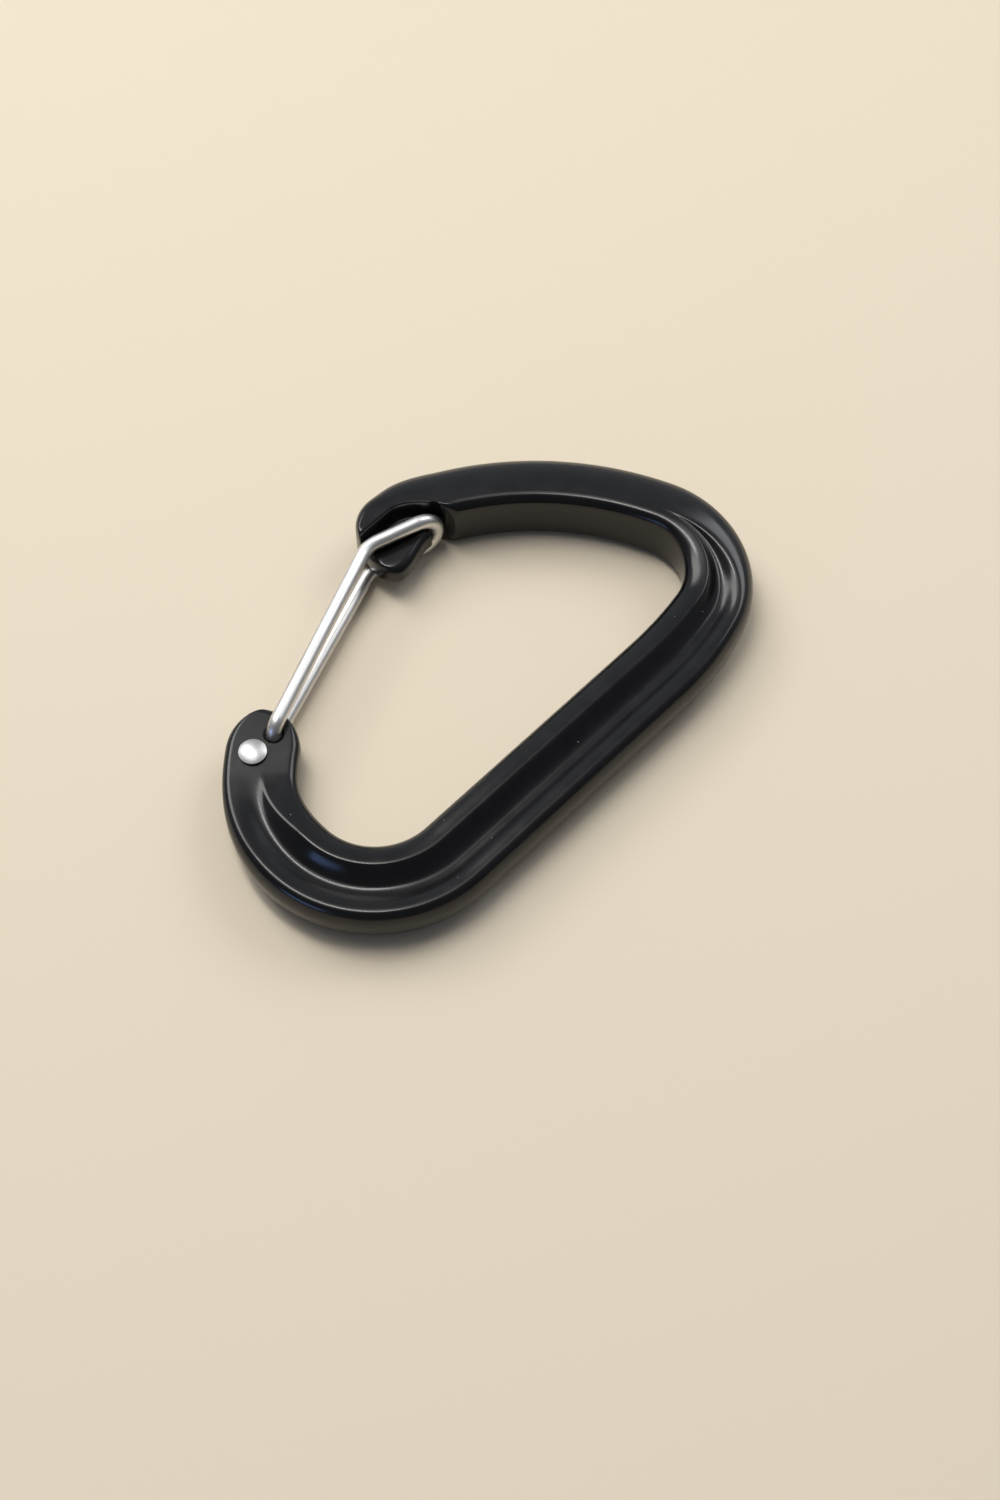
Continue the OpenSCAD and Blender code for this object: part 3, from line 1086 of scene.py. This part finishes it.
@dataclass
class WireGate:
    """The sprung gate, bent from one wire: the closed wire and the root of its lower leg."""

    line: GateLine
    sides: int = 28
    end_round: float = 0.18
    end_n: int = 3
    seam_hint: Triple = (0.3, 0.5, 0.81)
    sharp_angle: float = 60.0
    finish: DrawnSteel = field(default_factory=DrawnSteel)

    @cached_property
    def steel(self) -> bpy.types.Material:
        """The wire's material, shared by its pieces."""
        return self.finish.material()

    def tube(self, name: str, path: WirePath, rounded: bool = False) -> bpy.types.Object:
        """Sweeps the wire's round section along a path.

        Args:
            name: Name of the piece.
            path: Centre line of the wire.
            rounded: Whether the edge at its start is broken.

        Returns:
            The wire as an object with its finish.
        """
        line = np.array(path.points)
        ahead = np.gradient(line, axis=0)
        ahead /= np.linalg.norm(ahead, axis=1)[:, None]
        steps = np.linalg.norm(np.diff(line, axis=0), axis=1)
        travelled = np.concatenate([[0], np.cumsum(steps)])
        r = self.line.wire_r
        stations = [(k, r, 0.0) for k in range(len(line))]
        if rounded:
            stations[:1] = [(0, r - self.end_round * (1 - math.sin(t)),
                             self.end_round * (1 - math.cos(t)))
                            for t in np.radians(np.linspace(0, 90, self.end_n + 1))]
        side = np.cross(ahead[0], self.seam_hint)
        points: list[np.ndarray] = []
        uv: dict[int, Span] = {}
        for i, radius, shift in stations:
            side = side - ahead[i] * np.dot(side, ahead[i])
            side /= np.linalg.norm(side)
            up = np.cross(ahead[i], side)
            for k in range(self.sides):
                a = 2 * math.pi * k / self.sides
                uv[len(points)] = (float(travelled[i]), k / self.sides)
                points.append(line[i] + ahead[i] * shift
                              + radius * (math.cos(a) * side + math.sin(a) * up))
        piece = mesh_object(name, np.array(points), skin(len(stations), self.sides), uv)
        piece.data.set_sharp_from_angle(angle=math.radians(self.sharp_angle))
        piece.data.materials.append(self.steel)
        return piece

    def build(self) -> bpy.types.Object:
        """Bends the closed wire, from the upper pivot round the tongue to the lower leg.

        Returns:
            The wire, riding on the gate.
        """
        g = self.line
        leg = g.kink - g.upper_pivot
        low = g.kink - g.lower_pivot
        upper, lower = angle_of(leg), angle_of(low)
        upper_turn, lower_turn = upper - g.kinked_angle, lower - g.kinked_angle
        upper_cut = g.kink_r * math.tan(math.radians(upper_turn / 2))
        lower_cut = g.kink_r * math.tan(math.radians(lower_turn / 2))
        base = (g.frame_t - g.pad_t) / 2
        path = WirePath(np.array([*g.upper_pivot, base]), np.array([0, 0, 1.0]))
        path.straight(g.leg_z - g.pin_bend_r + g.pad_t / 2)
        path.bend(g.pin_bend_r, 90, (*heading(upper), 0))
        path.straight(np.linalg.norm(leg) - upper_cut - g.pin_bend_r)
        path.bend(g.kink_r, upper_turn, (*heading(upper - 90), 0))
        path.straight(g.kinked_l - upper_cut)
        path.bend(g.leg_z, 180, (0, 0, -1.0))
        path.straight(g.kinked_l - lower_cut)
        path.bend(g.kink_r, lower_turn, (*heading(g.kinked_angle - 90), 0))
        path.straight(np.linalg.norm(low) - lower_cut - g.flex_l)
        piece = self.tube("gate_wire_bent", path, rounded=True)
        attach(piece, Body.GATE.value)
        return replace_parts(piece, "gate_wire")

    def build_root(self) -> bpy.types.Object:
        """Bends the root of the lower leg, which flexes as the gate opens.

        Returns:
            The root, with its placement baked into its mesh.
        """
        g = self.line
        lower = angle_of(g.kink - g.lower_pivot)
        path = WirePath(np.array([*g.lower_pivot, g.head_z]), np.array([0, 0, -1.0]))
        path.straight(g.leg_z - g.pin_bend_r + g.pad_t / 2 + g.head_gap)
        path.bend(g.pin_bend_r, 90, (*heading(lower), 0))
        path.straight(g.flex_l - g.pin_bend_r)
        piece = self.tube("gate_spring_root", path)
        start = g.lower_pivot + g.pin_bend_r * heading(lower)
        end = g.lower_pivot + g.flex_l * heading(lower)
        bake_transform(piece)
        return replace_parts(piece, "gate_spring_leg")


@dataclass
class PivotHead:
    """Low domed head closed over the lower leg's pin."""

    line: GateLine
    rim_h: float = 0.3
    dome_h: float = 0.4
    edge: float = 0.12
    edge_n: int = 3
    dome_n: int = 12
    sharp_angle: float = 35.0

    def build(self) -> bpy.types.Object:
        """Turns the head and dresses it.

        Returns:
            The head, riding on the frame.
        """
        g = self.line
        r = g.head_d / 2
        dome_r = (r * r + self.dome_h ** 2) / (2 * self.dome_h)
        profile = [(0.0, 0.0), (r - self.edge, 0.0)]
        profile += [(r - self.edge * (1 - math.sin(t)), self.edge * (1 - math.cos(t)))
                    for t in np.radians(np.linspace(0, 90, self.edge_n + 1)[1:])]
        profile.append((r, self.rim_h))
        for k in range(1, self.dome_n):
            x = r * (1 - k / self.dome_n)
            profile.append((x, self.rim_h + math.sqrt(dome_r ** 2 - x * x) - dome_r
                            + self.dome_h))
        profile.append((0.0, self.rim_h + self.dome_h))
        piece = lathe("pivot_head", profile, np.array([*g.lower_pivot, g.head_z]))
        piece.data.set_sharp_from_angle(angle=math.radians(self.sharp_angle))
        piece.data.materials.append(PressedSteel(centre=tuple(g.lower_pivot)).material())
        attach(piece, Body.FRAME.value)
        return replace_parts(piece, "lower_leg_head")


@dataclass(frozen=True)
class Glow:
    """Soft patch of the sky: its bearing, the angles of its rim and core, and its colour."""

    towards: Span
    rim: float
    core: float
    tint: Triple


@dataclass(frozen=True)
class Lamp:
    """Soft light that faces the object: its bearing, distance, size, power and colour."""

    name: str
    towards: Span
    far: float
    size: Span
    watts: float
    tint: Triple

    def hang(self) -> None:
        """Hangs the light in its place."""
        data = bpy.data.lights.new(self.name, "AREA")
        data.energy, data.color, data.shape = self.watts, self.tint, "RECTANGLE"
        data.size, data.size_y = self.size[0] * MM, self.size[1] * MM
        lamp = bpy.data.objects.new(self.name, data)
        bpy.context.scene.collection.objects.link(lamp)
        place = bearing(self.towards) * self.far
        lamp.location = place * MM
        lamp.rotation_euler = (-place).to_track_quat("-Z", "Y").to_euler()


@dataclass
class Studio:
    """Pale floor, soft light and the camera at the photographed view."""

    target: Triple = (10.80, -4.23, 0.0)
    eye: Triple = (99.60, -95.72, 220.84)
    lens: float = 50.0
    sensor: float = 36.0
    clip_near: float = 10.0
    clip_far: float = 20000.0
    floor_half: float = 3000.0
    dim: Triple = (0.13, 0.135, 0.145)
    glows: tuple[Glow, ...] = (Glow((130, 9), 114, 0, (0.45, 0.47, 0.50)),
                               Glow((178, 73), 25, 6, (2.3, 2.27, 2.22)))
    lamps: tuple[Lamp, ...] = (
        Lamp("window", (178, 43), 700, (320, 280), 1.55, (1.0, 0.985, 0.96)),
        Lamp("second_window", (88, 40), 700, (340, 320), 1.2, (0.97, 0.98, 1.0)),
        Lamp("strip", (178, 73), 600, (75, 330), 1.15, (1.0, 0.99, 0.97)),
        Lamp("low", (270, 14), 800, (340, 160), 0.5, (0.30, 0.48, 1.0)),
    )

    def floor(self) -> None:
        """Lays the floor under the object."""
        h = self.floor_half
        piece = mesh_object("floor", np.array([(-h, -h, 0), (h, -h, 0), (h, h, 0), (-h, h, 0)]),
                            [(0, 1, 2, 3)])
        piece.data.materials.append(PaleFloor().material())

    def sky(self) -> None:
        """Sets a dim sky that is lighter behind the object and glows high over it."""
        world = bpy.data.worlds.new("sky")
        world.use_nodes = True
        sketch = NodeSketch(world.node_tree)
        place = sketch.add("ShaderNodeTexCoord").outputs["Generated"]
        tone: Paint = self.dim
        for glow in self.glows:
            nearness = sketch.add("ShaderNodeVectorMath", operation="DOT_PRODUCT")
            nearness.inputs[1].default_value = bearing(glow.towards)
            sketch.join(place, nearness.inputs[0])
            rim, core = (math.cos(math.radians(a)) for a in (glow.rim, glow.core))
            share = sketch.spread(nearness.outputs["Value"], 0.0, 1.0, rim, core, Ramp.SMOOTH)
            tone = sketch.mix(share, tone, glow.tint)
        sketch.join(tone, sketch.tree.nodes["Background"].inputs["Color"])
        bpy.context.scene.world = world

    def camera(self) -> None:
        """Places the camera."""
        data = bpy.data.cameras.new("camera")
        data.lens, data.sensor_width, data.sensor_fit = self.lens, self.sensor, "AUTO"
        data.clip_start, data.clip_end = self.clip_near * MM, self.clip_far * MM
        made = bpy.data.objects.new("camera", data)
        bpy.context.scene.collection.objects.link(made)
        made.location = Vector(self.eye) * MM
        look = Vector(self.target) - Vector(self.eye)
        made.rotation_euler = look.to_track_quat("-Z", "Y").to_euler()
        bpy.context.scene.camera = made

    def build(self) -> None:
        """Builds the whole set."""
        self.floor()
        self.sky()
        for lamp in self.lamps:
            lamp.hang()
        self.camera()
        bpy.context.scene.view_settings.view_transform = "Standard"


def main() -> None:
    """Builds the carabiner and its studio."""
    logging.basicConfig(level=logging.INFO, format="%(name)s: %(message)s")
    plan = Plan()
    line = GateLine(plan)
    gate = WireGate(line)
    made = [ForgedFrame(plan, line).build(), gate.build(), gate.build_root(),
            PivotHead(line).build()]
    for piece in made:
        LOG.info("%s: %d faces", piece.name, len(piece.data.polygons))
    Studio().build()


if __name__ == "__main__":
    main()
